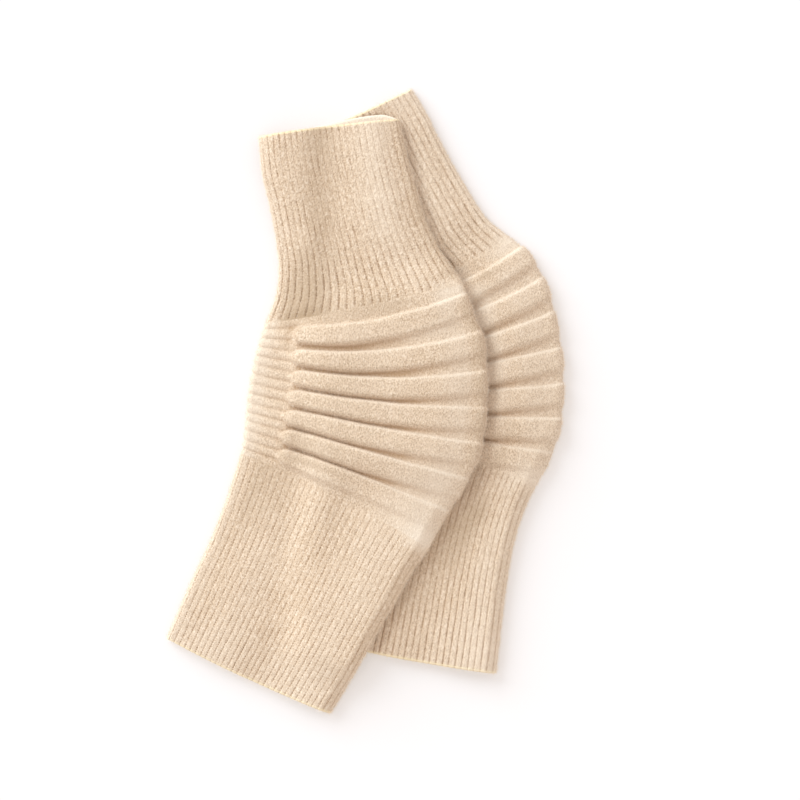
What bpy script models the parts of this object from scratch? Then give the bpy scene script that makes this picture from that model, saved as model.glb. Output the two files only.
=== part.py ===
"""A pair of knitted knee warmers, laid flat, the upper one partly on the lower one.

Metres, +Z up. The surface that the pair lies on is z = 0. +X is the knee side, where both
warmers bulge, and +Y is the side of the narrow cuffs. Each warmer is a flattened tube in
four pieces: a narrow ribbed cuff, a panel of raised ridges over the knee, a strip of fine
crosswise ribs at the back of the knee, and a wide ribbed cuff.

A tube is described by its courses, the lines that cross it from the left fold to the right
fold. Its position along the tube is "down", the distance from the narrow mouth along the
middle of the tube. Its position around the tube is "around", the distance along the section
from the middle of the left fold, over the top, to the right fold and back underneath.
"""

import math
from collections import namedtuple

import bmesh
import bpy
import numpy as np

MM = 0.001

# The cloth
WALL = 2.8 * MM  # a brushed knit, measured at the top of its ribs
SEAM_GAP = 0.3 * MM  # between two pieces at a seam
REST_GAP = 0.3 * MM  # between the two warmers where one lies on the other
COLOUR = (0.807, 0.631, 0.445)
ROUGHNESS = 0.95
SHARP_ANGLE = 60  # degrees; edges past this stay sharp

# The cuffs: lengthwise ribs, raised on the upper side up to the middle of each fold
NARROW_RIBS = 24
WIDE_RIBS = 32
RIB_DEPTH = 1.2 * MM
RIB_POINTS = ((0.0, 1.0), (0.28, 0.0), (0.72, 0.0))  # (share of the pitch, share of the depth cut)
RIM_LENGTH = 1.4 * MM  # the bound edge at a mouth rounds off over this length
RIM_INSET = 1.0 * MM
MOUTH_STEP = 3.2 * MM  # how far the under layer shows past the upper layer at a narrow mouth
MOUTH_STEP_FROM, MOUTH_STEP_TO = 0.35, 0.75  # shares of the width over which that step grows

# The knee: seven ridges across the cap, fine ribs behind it
RIDGES = 7
RIDGE_HEIGHT_LEFT = 4.6 * MM
RIDGE_HEIGHT_RIGHT = 3.0 * MM
RIDGE_HEIGHT_FOLD = 2.0 * MM
RIDGE_HALF_LEFT = 5.4 * MM  # half of a ridge's width, near its tip
RIDGE_HALF_RIGHT = 7.2 * MM  # and at the right fold
RIDGE_PROFILE = ((-1.0, 0.0), (-0.62, 0.78), (0.0, 1.0), (0.62, 0.78), (1.0, 0.0))
# How a ridge's rounded tip grows: millimetres from the tip line, shares of its height and width
TIP_PROFILE = ((0.0, 0.0, 1.0), (1.2, 0.0, 0.45), (3.2, 0.72, 0.85), (7.0, 1.0, 1.0))
BACK_WIDTH = 23.0 * MM  # from the left fold to the ridges' tips, on both sides
BACK_RIBS = 15
BACK_RIB_DEPTH = 1.3 * MM

# How the upper warmer lies over the lower one
DRAPE_CELL = 2.5 * MM
DRAPE_REACH = 16.0 * MM  # the cloth leaves the surface twice this far from the edge below it
DRAPE_SAMPLES = (260, 161)  # along and across the tube below, closer together than the cells

# How finely the surfaces are divided
CUFF_ROW = 13.0 * MM  # the longest step along a cuff
UNDERSIDE_COLUMNS = 11
KNEE_COLUMNS = 8
KNEE_UNDERSIDE_COLUMNS = 11
BACK_COLUMNS = 2
BACK_INNER_STEP = 3  # the strip's inside has every third row of its outside
TURN_COLUMNS = 5  # round a fold, with both of its ends

# Marks around a tube: shares of the half girth, a fold's quarter turn, the way to the tip line,
# and a metre
LEFT_FOLD = np.array([0.0, 0.0, 0.0, 0.0])
TOP_START = np.array([0.0, 1.0, 0.0, 0.0])
TIP_LINE = np.array([0.0, 0.0, 1.0, 0.0])
TOP_END = np.array([1.0, -1.0, 0.0, 0.0])
RIGHT_FOLD = np.array([1.0, 0.0, 0.0, 0.0])
UNDER_START = np.array([1.0, 1.0, 0.0, 0.0])
UNDER_END = np.array([2.0, -1.0, 0.0, 0.0])
ALL_ROUND = np.array([2.0, 0.0, 0.0, 0.0])
METRE = np.array([0.0, 0.0, 0.0, 1.0])

Course = namedtuple("Course", "name left_x left_y right_x right_y bow height")
# Ends of each course on the folds, how far its middle bows towards the narrow mouth, and the
# height of the tube there, all in millimetres.
UPPER = (
    Course("narrow_mouth", -69.5, 171.5, 21.5, 182.5, 0.8, 6.6),
    Course("narrow_1", -67.0, 147.0, 26.0, 162.0, -0.5, 7.0),
    Course("narrow_2", -62.5, 127.5, 31.0, 143.0, -1.4, 7.0),
    Course("narrow_3", -58.5, 106.0, 37.0, 121.5, -2.0, 7.0),
    Course("narrow_4", -56.5, 86.5, 46.0, 101.5, -2.0, 7.0),
    Course("narrow_5", -58.5, 67.5, 55.0, 86.5, -2.3, 7.0),
    Course("narrow_seam", -65.0, 50.5, 62.5, 75.5, -2.6, 7.0),
    Course("ridge_1", -67.5, 44.0, 66.5, 63.5, -7.8, 7.6),
    Course("ridge_2", -71.0, 32.5, 76.0, 39.0, -8.8, 8.0),
    Course("ridge_3", -73.5, 21.0, 78.0, 13.5, -7.5, 8.0),
    Course("ridge_4", -76.0, 8.5, 77.0, -10.5, -4.5, 8.0),
    Course("ridge_5", -77.5, -4.0, 73.5, -33.5, -2.0, 8.0),
    Course("ridge_6", -78.5, -15.5, 63.0, -56.0, 0.0, 8.0),
    Course("ridge_7", -80.0, -28.0, 50.5, -77.0, 2.6, 7.6),
    Course("wide_seam", -81.0, -34.0, 40.5, -95.5, 3.9, 7.0),
    Course("wide_1", -89.5, -61.0, 30.0, -111.0, 2.0, 7.0),
    Course("wide_2", -100.0, -88.5, 18.0, -132.0, -0.5, 7.0),
    Course("wide_3", -113.0, -116.5, 4.5, -155.5, -3.0, 7.0),
    Course("wide_4", -122.0, -137.0, -9.0, -179.5, -4.8, 7.0),
    Course("wide_mouth", -129.5, -154.0, -23.0, -203.0, -6.0, 6.6),
)
LOWER = (
    Course("narrow_mouth", -55.0, 166.0, 29.5, 202.5, -1.5, 6.6),
    Course("narrow_1", -46.0, 145.5, 39.5, 185.5, -2.0, 7.0),
    Course("narrow_2", -37.0, 128.0, 48.0, 168.5, -2.0, 7.0),
    Course("narrow_3", -28.5, 108.5, 58.5, 149.5, -2.0, 7.0),
    Course("narrow_4", -22.5, 90.0, 69.5, 131.0, -2.0, 7.0),
    Course("narrow_5", -20.5, 71.0, 79.5, 117.0, -2.3, 7.0),
    Course("narrow_seam", -22.5, 53.5, 90.5, 109.5, -2.6, 7.0),
    Course("ridge_1", -21.0, 45.5, 105.5, 95.5, -7.8, 7.6),
    Course("ridge_2", -22.0, 33.5, 117.0, 74.5, -8.8, 8.0),
    Course("ridge_3", -21.5, 22.5, 123.0, 52.0, -7.5, 8.0),
    Course("ridge_4", -21.5, 10.0, 127.0, 28.5, -4.5, 8.0),
    Course("ridge_5", -20.5, -2.0, 127.5, 5.0, -2.0, 8.0),
    Course("ridge_6", -18.0, -13.0, 125.5, -17.5, 0.0, 8.0),
    Course("ridge_7", -16.0, -24.5, 118.5, -39.5, 2.6, 7.6),
    Course("wide_seam", -16.5, -31.5, 112.0, -51.5, 3.9, 7.0),
    Course("wide_1", -18.5, -55.5, 103.5, -69.0, 3.0, 7.0),
    Course("wide_2", -22.5, -84.5, 96.0, -92.5, 2.0, 7.0),
    Course("wide_3", -27.0, -114.5, 91.0, -120.5, 1.0, 7.0),
    Course("wide_4", -29.5, -137.5, 87.5, -149.0, 0.0, 7.0),
    Course("wide_mouth", -30.5, -156.0, 84.5, -177.0, -1.5, 6.6),
)


def blend(low, high, share):
    return low + (high - low) * share


def soft_step(value, low, high):
    """0 below low, 1 above high, and a smooth rise between."""
    share = np.clip((value - low) / (high - low), 0.0, 1.0)
    return share * share * (3.0 - 2.0 * share)


class Tube:
    """One warmer: a flattened tube that follows a table of courses."""

    def __init__(self, courses, lift=None):
        self.rows = np.array([course[1:] for course in courses]) * MM
        middles = (self.rows[:, 0:2] + self.rows[:, 2:4]) / 2
        steps = np.linalg.norm(np.diff(middles, axis=0), axis=1)
        self.downs = np.concatenate([[0.0], np.cumsum(steps)])
        self.down_of = {course.name: down for course, down in zip(courses, self.downs)}
        slopes = np.empty_like(self.rows)
        slopes[1:-1] = (self.rows[2:] - self.rows[:-2]) / (self.downs[2:] - self.downs[:-2])[:, None]
        slopes[0] = (self.rows[1] - self.rows[0]) / steps[0]
        slopes[-1] = (self.rows[-1] - self.rows[-2]) / steps[-1]
        self.slopes = slopes
        self.lift = lift

    def course(self, down):
        """Left end, right end, bow and height of the courses at these places."""
        down = np.asarray(down, float)
        i = np.clip(np.searchsorted(self.downs, down, side="right") - 1, 0, len(self.downs) - 2)
        span = (self.downs[i + 1] - self.downs[i])[..., None]
        t = (down[..., None] - self.downs[i][..., None]) / span
        row = (
            (1 + 2 * t) * (1 - t) ** 2 * self.rows[i]
            + t * (1 - t) ** 2 * span * self.slopes[i]
            + t * t * (3 - 2 * t) * self.rows[i + 1]
            - t * t * (1 - t) * span * self.slopes[i + 1]
        )
        return row[..., 0:2], row[..., 2:4], row[..., 4], row[..., 5]

    def width(self, down):
        left, right, _, _ = self.course(down)
        return np.linalg.norm(right - left, axis=-1)

    def half_girth(self, down):
        """Half of the way round the tube, from fold to fold."""
        height = self.course(down)[3]
        return self.width(down) - height + math.pi * height / 2

    def place(self, down, around, out=0.0, shift=0.0):
        """Points on the tube, moved out of its surface and along it towards the narrow mouth."""
        down, around, out, shift = np.broadcast_arrays(down, around, out, shift)
        left, right, bow, height = self.course(down)
        width = np.linalg.norm(right - left, axis=-1)
        across_way = (right - left) / width[..., None]
        along_way = np.stack([-across_way[..., 1], across_way[..., 0]], axis=-1)
        radius = height / 2
        flat = width - height
        half = flat + math.pi * radius
        around = np.where(around < 0, around + 2 * half, around)
        upper = around <= half
        way = np.where(upper, around, 2 * half - around)
        first = np.clip(way / radius, 0, math.pi / 2)
        second = np.clip((way - flat) / radius - math.pi / 2, 0, math.pi / 2)
        normal_across = np.sin(second) - np.cos(first)
        normal_up = (np.sin(first) + np.cos(second) - 1) * np.where(upper, 1.0, -1.0)
        across = radius * (1 + normal_across) + np.clip(way - math.pi * radius / 2, 0, flat)
        across = across + out * normal_across
        share = across / width
        along = bow * 4 * share * (1 - share) + shift
        spot = left + across_way * across[..., None] + along_way * along[..., None]
        up = radius + (radius + out) * normal_up
        if self.lift is not None:
            up = up + self.lift(spot[..., 0], spot[..., 1])
        return np.concatenate([spot, up[..., None]], axis=-1)


def drape_over(tube):
    """A function for how far a cloth on this tube is lifted at a place on the surface.

    It is the tube's height, spread sideways and then smoothed by the same reach, so that the
    cloth clears everything below it and comes down to the surface in a soft slope.
    """
    downs = np.linspace(0, tube.downs[-1], DRAPE_SAMPLES[0])[:, None]
    arounds = np.linspace(0, 1, DRAPE_SAMPLES[1]) * tube.half_girth(downs)
    knee = soft_step(downs, tube.down_of["narrow_seam"], tube.down_of["ridge_1"]) * (
        1 - soft_step(downs, tube.down_of["ridge_7"], tube.down_of["wide_seam"])
    )
    ridges = RIDGE_HEIGHT_LEFT * soft_step(arounds, BACK_WIDTH / 2, BACK_WIDTH)
    points = tube.place(downs, arounds, out=knee * ridges)
    margin = 3 * DRAPE_REACH
    low = points[..., :2].min(axis=(0, 1)) - margin
    high = points[..., :2].max(axis=(0, 1)) + margin
    across_cells, along_cells = np.ceil((high - low) / DRAPE_CELL).astype(int) + 1
    heights = np.zeros((across_cells, along_cells))
    cells = np.rint((points[..., :2] - low) / DRAPE_CELL).astype(int)
    np.maximum.at(heights, (cells[..., 0], cells[..., 1]), points[..., 2] + REST_GAP)
    reach = int(math.ceil(DRAPE_REACH / DRAPE_CELL))
    offsets = [(i, j) for i in range(-reach, reach + 1) for j in range(-reach, reach + 1)]
    offsets = [(i, j) for i, j in offsets if i * i + j * j <= reach * reach]
    spread = heights.copy()
    for i, j in offsets:
        spread = np.maximum(spread, np.roll(heights, (i, j), axis=(0, 1)))
    smooth = np.zeros_like(heights)
    total = 0.0
    for i, j in offsets:
        weight = (1 - (i * i + j * j) / (reach + 0.5) ** 2) ** 2
        smooth += weight * np.roll(spread, (i, j), axis=(0, 1))
        total += weight
    smooth /= total

    def lift(x, y):
        a = np.clip((x - low[0]) / DRAPE_CELL, 0, across_cells - 1.001)
        b = np.clip((y - low[1]) / DRAPE_CELL, 0, along_cells - 1.001)
        i, j = a.astype(int), b.astype(int)
        a, b = a - i, b - j
        near = blend(smooth[i, j], smooth[i + 1, j], a)
        far = blend(smooth[i, j + 1], smooth[i + 1, j + 1], a)
        return blend(near, far, b)

    return lift


def strip(first, second, first_at, second_at):
    """Triangles that join two lines of vertices, matched by where each vertex is along its line."""
    faces = []
    i = j = 0
    while i < len(first) - 1 or j < len(second) - 1:
        next_first = first_at[i + 1] if i < len(first) - 1 else math.inf
        next_second = second_at[j + 1] if j < len(second) - 1 else math.inf
        if next_first <= next_second:
            faces.append((first[i], first[i + 1], second[j]))
            i += 1
        else:
            faces.append((first[i], second[j + 1], second[j]))
            j += 1
    return faces


class Skin:
    """One side of a wall: a grid of points with the place of each row and column on the tube."""

    def __init__(self, tube, downs, arounds, out=0.0, shift=0.0):
        self.points = tube.place(downs, arounds, out, shift)
        self.downs = np.broadcast_to(downs, self.points.shape[:2])
        self.arounds = np.broadcast_to(arounds, self.points.shape[:2])


def wall_between(outer, inner, closed):
    """A solid wall between two skins, which may be divided differently.

    A closed wall goes all the way round, and its last column is its first one again.
    """
    mesh = bmesh.new()
    grids = []
    for skin in (outer, inner):
        kept = skin.points[:, :-1] if closed else skin.points
        rows = [[mesh.verts.new(point) for point in row] for row in kept]
        grids.append([row + row[:1] for row in rows] if closed else rows)
    for grid in grids:
        for row, next_row in zip(grid, grid[1:]):
            for k in range(len(row) - 1):
                mesh.faces.new((row[k], next_row[k], next_row[k + 1], row[k + 1]))
    outside, inside = grids
    for end in (0, -1):
        edges = [(outside[end], inside[end], outer.arounds[end], inner.arounds[end])]
        if not closed:
            column_out = [row[end] for row in outside]
            column_in = [row[end] for row in inside]
            edges.append((column_out, column_in, outer.downs[:, end], inner.downs[:, end]))
        for edge in edges:
            for face in strip(*edge):
                mesh.faces.new(face)
    bmesh.ops.recalc_face_normals(mesh, faces=mesh.faces)
    return mesh


def spaced(first, last, count):
    """count marks from first to last."""
    return blend(first, last, np.linspace(0, 1, count)[:, None])


def around_of(tube, downs, marks):
    """Places around the tube for marks, whatever the tube's width and height there.

    A mark is a share of four lengths: the half girth, the quarter turn of a fold, the way
    from the middle of the left fold to the ridges' tips, and a metre.
    """
    height = tube.course(downs)[3]
    quarter = math.pi * height / 4
    tip_line = BACK_WIDTH - height / 2 + quarter
    lengths = (tube.half_girth(downs), quarter, tip_line, 1.0)
    return sum(length * share for length, share in zip(lengths, marks.T))


def cuff_rows(tube, from_name, to_name):
    """The places of a cuff's rows, their shift at a seam and their inset at a mouth."""
    low, high = tube.down_of[from_name], tube.down_of[to_name]
    count = math.ceil((high - low - RIM_LENGTH) / CUFF_ROW) + 1
    mouth_first = from_name.endswith("mouth")
    if mouth_first:
        downs = np.concatenate([[low], np.linspace(low + RIM_LENGTH, high, count)])
    else:
        downs = np.concatenate([np.linspace(low, high - RIM_LENGTH, count), [high]])
    shift, inset = np.zeros_like(downs), np.zeros_like(downs)
    if mouth_first:
        shift[-1], inset[0] = SEAM_GAP / 2, RIM_INSET
    else:
        shift[0], inset[-1] = -SEAM_GAP / 2, RIM_INSET
    return downs[:, None], shift[:, None], inset[:, None]


def mouth_step(tube, downs, arounds):
    """How far the under layer reaches past the upper layer on the knee side of a narrow mouth."""
    share = 2 - arounds / tube.half_girth(downs)
    below = soft_step(share, MOUTH_STEP_FROM, MOUTH_STEP_TO) * (share < 1)
    return MOUTH_STEP * below * (downs < 2 * RIM_LENGTH)


def cuff(tube, ribs, from_name, to_name):
    """A ribbed tube, with its ribs raised on top and round both folds."""
    downs, shift, inset = cuff_rows(tube, from_name, to_name)
    pitches = np.array([(rib + share, cut) for rib in range(ribs) for share, cut in RIB_POINTS])
    top = pitches[:, :1] / ribs * RIGHT_FOLD
    right_turn = np.stack([RIGHT_FOLD, blend(RIGHT_FOLD, UNDER_START, 0.5)])
    underside = spaced(UNDER_START, UNDER_END, UNDERSIDE_COLUMNS)
    left_turn = np.stack([blend(UNDER_END, ALL_ROUND, 0.5), ALL_ROUND])
    cuts = np.zeros(len(top) + len(right_turn) + len(underside) + len(left_turn))
    cuts[1 : len(top)] = pitches[1:, 1]
    arounds = around_of(tube, downs, np.vstack([top, right_turn, underside, left_turn]))
    outer_shift = shift + mouth_step(tube, downs, arounds)
    outer = Skin(tube, downs, arounds, -inset - cuts * RIB_DEPTH, outer_shift)

    top = spaced(TOP_START, TOP_END, UNDERSIDE_COLUMNS)
    marks = np.vstack([LEFT_FOLD, top, RIGHT_FOLD, underside, ALL_ROUND])
    arounds = around_of(tube, downs, marks)
    inner = Skin(tube, downs, arounds, -WALL, shift + mouth_step(tube, downs, arounds))
    return wall_between(outer, inner, closed=True)


def ridge_size(tube, downs, arounds):
    """A ridge's height and half width at a place around the tube."""
    half = tube.half_girth(downs)
    quarter = math.pi * tube.course(downs)[3] / 4
    share = np.where(arounds < half, arounds, 2 * half - arounds) / half
    distance, tip_height, tip_width = np.array(TIP_PROFILE).T
    past_tip = arounds - around_of(tube, downs, TIP_LINE[None, :])
    height = blend(RIDGE_HEIGHT_LEFT, RIDGE_HEIGHT_RIGHT, share)
    height = blend(height, RIDGE_HEIGHT_FOLD, soft_step(arounds, half - quarter, half))
    height = height * np.interp(past_tip, distance * MM, tip_height)
    height = height * (1 - soft_step(arounds, half, half + quarter))
    width = blend(RIDGE_HALF_LEFT, RIDGE_HALF_RIGHT, share)
    return height, width * np.interp(past_tip, distance * MM, tip_width)


def knee_ridges(tube):
    """The panel over the knee: raised ridges that fan out and wrap round the knee-side fold."""
    names = ["narrow_seam", *(f"ridge_{k + 1}" for k in range(RIDGES)), "wide_seam"]
    lines = np.array([tube.down_of[name] for name in names])[:, None]
    first_edge = TIP_LINE + SEAM_GAP / 2 * METRE
    last_edge = ALL_ROUND - first_edge
    tips = first_edge + np.array(TIP_PROFILE)[:, :1] * MM * METRE
    top = spaced(tips[-1], TOP_END, KNEE_COLUMNS)[1:]
    turn = spaced(TOP_END, UNDER_START, TURN_COLUMNS)[1:-1]
    underside = spaced(UNDER_START, last_edge, KNEE_UNDERSIDE_COLUMNS)
    marks = np.vstack([tips, top, turn, underside])

    arounds = around_of(tube, lines, marks)
    spots = tube.place(lines, arounds)[..., :2]
    stretch = np.diff(lines, axis=0) / np.linalg.norm(np.diff(spots, axis=0), axis=2)
    half_width = ridge_size(tube, lines, arounds)[1]
    downs, profile = [np.full_like(stretch[0], lines[0])], [0.0]
    for k in range(1, RIDGES + 1):
        for offset, height in RIDGE_PROFILE:
            side = stretch[k - 1] if offset < 0 else stretch[k]
            downs.append(lines[k] + offset * half_width[k] * side)
            profile.append(height)
    downs.append(np.full_like(stretch[0], lines[-1]))
    profile.append(0.0)
    downs, profile = np.array(downs), np.array(profile)[:, None]
    shift = seam_shift(len(downs))
    arounds = around_of(tube, downs, marks)
    rise = ridge_size(tube, downs, arounds)[0] * profile
    outer = Skin(tube, downs, arounds, rise, shift)

    top = spaced(first_edge, TOP_END, KNEE_COLUMNS)
    marks = np.vstack([top, RIGHT_FOLD, underside])
    inner_downs = np.sort(np.concatenate([lines, (lines[1:] + lines[:-1]) / 2]), axis=0)
    inner_shift = seam_shift(len(inner_downs))
    inner = Skin(tube, inner_downs, around_of(tube, inner_downs, marks), -WALL, inner_shift)
    return wall_between(outer, inner, closed=False)


def knee_back(tube):
    """The strip behind the knee: fine crosswise ribs, wrapped round the other fold."""
    low, high = tube.down_of["narrow_seam"], tube.down_of["wide_seam"]
    fine = np.linspace(low, high, 10 * BACK_RIBS)
    fold = tube.course(fine)[0]
    fold_length = np.concatenate([[0], np.cumsum(np.linalg.norm(np.diff(fold, axis=0), axis=1))])
    rib_edges = np.linspace(0, fold_length[-1], 2 * BACK_RIBS + 1)
    downs = np.interp(rib_edges, fold_length, fine)[:, None]
    last_edge = TIP_LINE - SEAM_GAP / 2 * METRE
    first_edge = -last_edge
    underside = spaced(first_edge, -TOP_START, BACK_COLUMNS + 1)
    turn = spaced(-TOP_START, TOP_START, TURN_COLUMNS)[1:-1]
    top = spaced(TOP_START, last_edge, BACK_COLUMNS + 1)
    arounds = around_of(tube, downs, np.vstack([underside, turn, top]))
    quarter = around_of(tube, downs, TOP_START[None, :])
    valley = (np.arange(len(downs)) % 2 == 0)[:, None]
    cuts = BACK_RIB_DEPTH * valley * soft_step(arounds, -quarter, 0.0)
    outer = Skin(tube, downs, arounds, -cuts, seam_shift(len(downs)))

    downs = downs[::BACK_INNER_STEP]
    marks = np.vstack([underside, LEFT_FOLD, top])
    inner = Skin(tube, downs, around_of(tube, downs, marks), -WALL, seam_shift(len(downs)))
    return wall_between(outer, inner, closed=False)


def seam_shift(rows):
    """Moves the first and last rows of a knee piece back from the seams at its two ends."""
    shift = np.zeros((rows, 1))
    shift[0], shift[-1] = -SEAM_GAP / 2, SEAM_GAP / 2
    return shift


def warmer(prefix, tube):
    """The four pieces of one warmer, as named meshes."""
    return {
        f"{prefix}_narrow_cuff": cuff(tube, NARROW_RIBS, "narrow_mouth", "narrow_seam"),
        f"{prefix}_knee_ridges": knee_ridges(tube),
        f"{prefix}_knee_back": knee_back(tube),
        f"{prefix}_wide_cuff": cuff(tube, WIDE_RIBS, "wide_seam", "wide_mouth"),
    }


def finished(name, mesh, centre):
    """An object from a mesh, with the pair's middle at the origin."""
    for vertex in mesh.verts:
        vertex.co.x -= centre[0]
        vertex.co.y -= centre[1]
    data = bpy.data.meshes.new(name)
    mesh.to_mesh(data)
    mesh.free()
    data.shade_smooth()
    data.set_sharp_from_angle(angle=math.radians(SHARP_ANGLE))
    data.materials.append(cloth_material(name))
    piece = bpy.data.objects.new(name, data)
    bpy.context.scene.collection.objects.link(piece)


def cloth_material(name):
    material = bpy.data.materials.new(name)
    material.use_nodes = True
    shader = material.node_tree.nodes["Principled BSDF"]
    shader.inputs["Base Color"].default_value = (*COLOUR, 1.0)
    shader.inputs["Roughness"].default_value = ROUGHNESS
    shader.inputs["Metallic"].default_value = 0.0
    material.diffuse_color = (*COLOUR, 1.0)
    return material


def main():
    for thing in list(bpy.data.objects):
        bpy.data.objects.remove(thing)
    lower = Tube(LOWER)
    upper = Tube(UPPER, drape_over(lower))
    meshes = warmer("lower", lower) | warmer("upper", upper)
    spots = np.array([vertex.co for mesh in meshes.values() for vertex in mesh.verts])
    centre = (spots.min(axis=0) + spots.max(axis=0)) / 2
    for name, mesh in meshes.items():
        finished(name, mesh, centre)


main()
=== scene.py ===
"""The look of a pair of plush knitted knee warmers, laid flat, the upper one partly on the lower.

Metres, +Z up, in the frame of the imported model. +X is the knee side and +Y the side of the
narrow cuffs. A warmer is a flattened tube. Its courses cross it from the left fold to the
right fold: "down" is a place along the tube, from the narrow mouth, and "around" is a place
round its section, from the left fold over the top to the right fold and back underneath.
"""

import math

import bpy
import numpy as np
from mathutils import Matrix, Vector


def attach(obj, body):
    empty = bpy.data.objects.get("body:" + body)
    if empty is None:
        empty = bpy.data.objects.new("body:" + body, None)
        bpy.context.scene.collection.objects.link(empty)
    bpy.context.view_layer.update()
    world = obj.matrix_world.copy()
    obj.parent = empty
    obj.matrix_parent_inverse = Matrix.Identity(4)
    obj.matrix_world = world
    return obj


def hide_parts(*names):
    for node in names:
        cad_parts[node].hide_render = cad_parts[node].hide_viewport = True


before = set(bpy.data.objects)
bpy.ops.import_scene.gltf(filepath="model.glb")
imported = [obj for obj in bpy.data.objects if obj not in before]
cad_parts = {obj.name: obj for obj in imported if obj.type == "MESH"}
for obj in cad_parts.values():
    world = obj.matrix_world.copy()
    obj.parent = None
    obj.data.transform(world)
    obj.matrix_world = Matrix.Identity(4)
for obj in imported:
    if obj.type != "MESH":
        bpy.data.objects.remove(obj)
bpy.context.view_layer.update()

MM = 0.001

# The pair, with the same tables as the solids, but for a flatter hem at the upper wide mouth and
# the right end of the lower narrow seam, which lies nearer to the first ridge; millimetres
PAIR_CENTRE = (0.22, 0.95)
WALL = 2.8 * MM
REST_GAP = 0.3 * MM  # between the two warmers
RIBS = {"narrow_cuff": 24, "wide_cuff": 32}  # across the top
RIB_DEPTH = 0.95 * MM
# Each cuff's grooves: the share of the full depth, the share of painted shade in the grooves, and
# how far the ribs stop short of the seam beside the right fold
GROOVES = {
    "upper_narrow_cuff": (0.86, 0.58, 13.0 * MM),
    "upper_wide_cuff": (0.50, 0.56, 10.0 * MM),
    "lower_narrow_cuff": (1.0, 0.75, 5.0 * MM),
    "lower_wide_cuff": (0.66, 0.82, 8.0 * MM),
}
PLAIN_LEFT = 1.2 * MM  # how far the ribs stop short of a seam elsewhere
RIM_LENGTH = 1.7 * MM
RIM_ROUNDING = 1.3 * MM
MOUTH_STEP = 3.9 * MM  # how far the under layer shows past the upper narrow mouth
RIDGES = 7
RIDGE_HEIGHT_LEFT = 4.2 * MM
RIDGE_HEIGHT_RIGHT = {"upper": 1.1 * MM, "lower": 2.2 * MM}
RIDGE_HEIGHT_FOLD = {"upper": 0.8 * MM, "lower": 1.0 * MM}
RIDGE_HALF_LEFT = 5.8 * MM
RIDGE_HALF_RIGHT = 6.9 * MM
RIDGE_LOWER_SLOPE = 3.4 * MM  # how much wider a ridge is at the foot of its lower side
BACK_RIB_DEPTH = 1.0 * MM
WAVE = 0.4 * MM  # half of the range of the cloth's gentle waves
LONG_WAVE, SHORT_WAVE = 31 * MM, 13 * MM
PRESS_REACH = 13.5 * MM  # how far the upper warmer's weight is felt past its folds

DRAPE_CELL = 2.5 * MM
DRAPE_REACH = 16.0 * MM
DRAPE_SAMPLES = (260, 161)
RIDGE_LIFT_REACH = (11.5 * MM, 23.0 * MM)  # from the left fold: the ridges' lift starts, is full
FOOTPRINT_CELL = 1.5 * MM
FOOTPRINT_SAMPLES = (500, 260)

# The courses: name, left x and y, right x and y, bow and height
UPPER = (
    ("narrow_mouth", -69.5, 171.5, 21.5, 182.5, 0.8, 6.6),
    ("narrow_1", -67.0, 147.0, 26.0, 162.0, -0.5, 7.0),
    ("narrow_2", -62.5, 127.5, 31.0, 143.0, -1.4, 7.0),
    ("narrow_3", -58.5, 106.0, 37.0, 121.5, -2.0, 7.0),
    ("narrow_4", -56.5, 86.5, 46.0, 101.5, -2.0, 7.0),
    ("narrow_5", -58.5, 67.5, 55.0, 86.5, -2.3, 7.0),
    ("narrow_seam", -65.0, 50.5, 62.5, 75.5, -2.6, 7.0),
    ("ridge_1", -67.5, 44.0, 66.5, 63.5, -7.8, 7.6),
    ("ridge_2", -71.0, 32.5, 76.0, 39.0, -8.8, 8.0),
    ("ridge_3", -73.5, 21.0, 78.0, 13.5, -7.5, 8.0),
    ("ridge_4", -76.0, 8.5, 77.0, -10.5, -4.5, 8.0),
    ("ridge_5", -77.5, -4.0, 73.5, -33.5, -2.0, 8.0),
    ("ridge_6", -78.5, -15.5, 63.0, -56.0, 0.0, 8.0),
    ("ridge_7", -80.0, -28.0, 50.5, -77.0, 2.6, 7.6),
    ("wide_seam", -81.0, -34.0, 40.5, -95.5, 3.9, 7.0),
    ("wide_1", -89.5, -61.0, 30.0, -111.0, 2.0, 7.0),
    ("wide_2", -100.0, -88.5, 18.0, -132.0, -0.5, 7.0),
    ("wide_3", -113.0, -116.5, 4.5, -155.5, -3.0, 7.0),
    ("wide_4", -122.0, -137.0, -9.0, -179.5, -2.6, 7.0),
    ("wide_mouth", -129.5, -154.0, -23.0, -203.0, -1.8, 6.6),
)
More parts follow.
